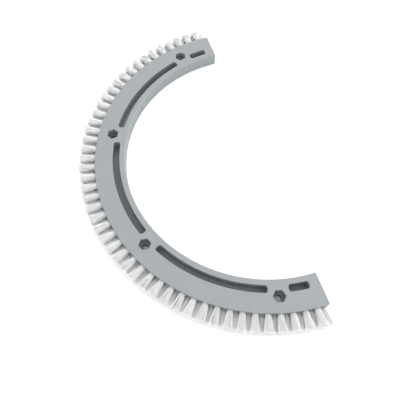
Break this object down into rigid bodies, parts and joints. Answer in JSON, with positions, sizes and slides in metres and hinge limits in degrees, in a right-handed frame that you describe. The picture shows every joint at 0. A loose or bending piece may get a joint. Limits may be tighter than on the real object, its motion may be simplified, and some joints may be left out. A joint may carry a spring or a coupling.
{
  "type": "half-ring pool brush",
  "caption": "Half-ring plastic block with two staggered rows of radial filament tufts, curved slots and hexagonal nut pockets, one half of a round scrubbing brush.",
  "frame": {"origin": "centre of the ring, on the plane of the block's back face", "axes": "+Z is the ring's axis and points out of the face with the nut pockets; +Y points to the middle of the arc; +X points to one cut end"},
  "size_m": [0.46, 0.23, 0.018],
  "materials": {
    "block_plastic": "satin bluish grey",
    "filament": "fine white filament, cut ends",
    "anchor_wire": "plain flat wire"
  },
  "bodies": {
    "root": {"block": "block_plastic", "tufts_01": "filament", "tufts_02": "filament", "tufts_03": "filament", "tufts_04": "filament", "tufts_05": "filament", "tufts_06": "filament", "tufts_07": "filament", "tufts_08": "filament", "tufts_09": "filament", "tufts_10": "filament", "tufts_11": "filament", "tufts_12": "filament", "tufts_13": "filament", "tufts_14": "filament", "tufts_15": "filament", "tufts_16": "filament", "tufts_17": "filament", "tufts_18": "filament", "tufts_19": "filament", "tufts_20": "filament", "tufts_21": "filament", "tufts_22": "filament", "tufts_23": "filament", "tufts_24": "filament", "tufts_25": "filament", "tufts_26": "filament", "tufts_27": "filament", "tufts_28": "filament", "tufts_29": "filament", "tufts_30": "filament", "tufts_31": "filament", "tufts_32": "filament", "tufts_33": "filament", "tufts_34": "filament", "tufts_35": "filament", "tufts_36": "filament", "tufts_37": "filament", "tufts_38": "filament", "tufts_39": "filament", "tufts_40": "filament", "tufts_41": "filament", "tufts_42": "filament", "tufts_43": "filament", "tufts_44": "filament", "tufts_45": "filament", "tufts_46": "filament", "tufts_47": "filament", "tufts_48": "filament", "anchors_front_row": "anchor_wire", "anchors_back_row": "anchor_wire"}
  },
  "joints": []
}
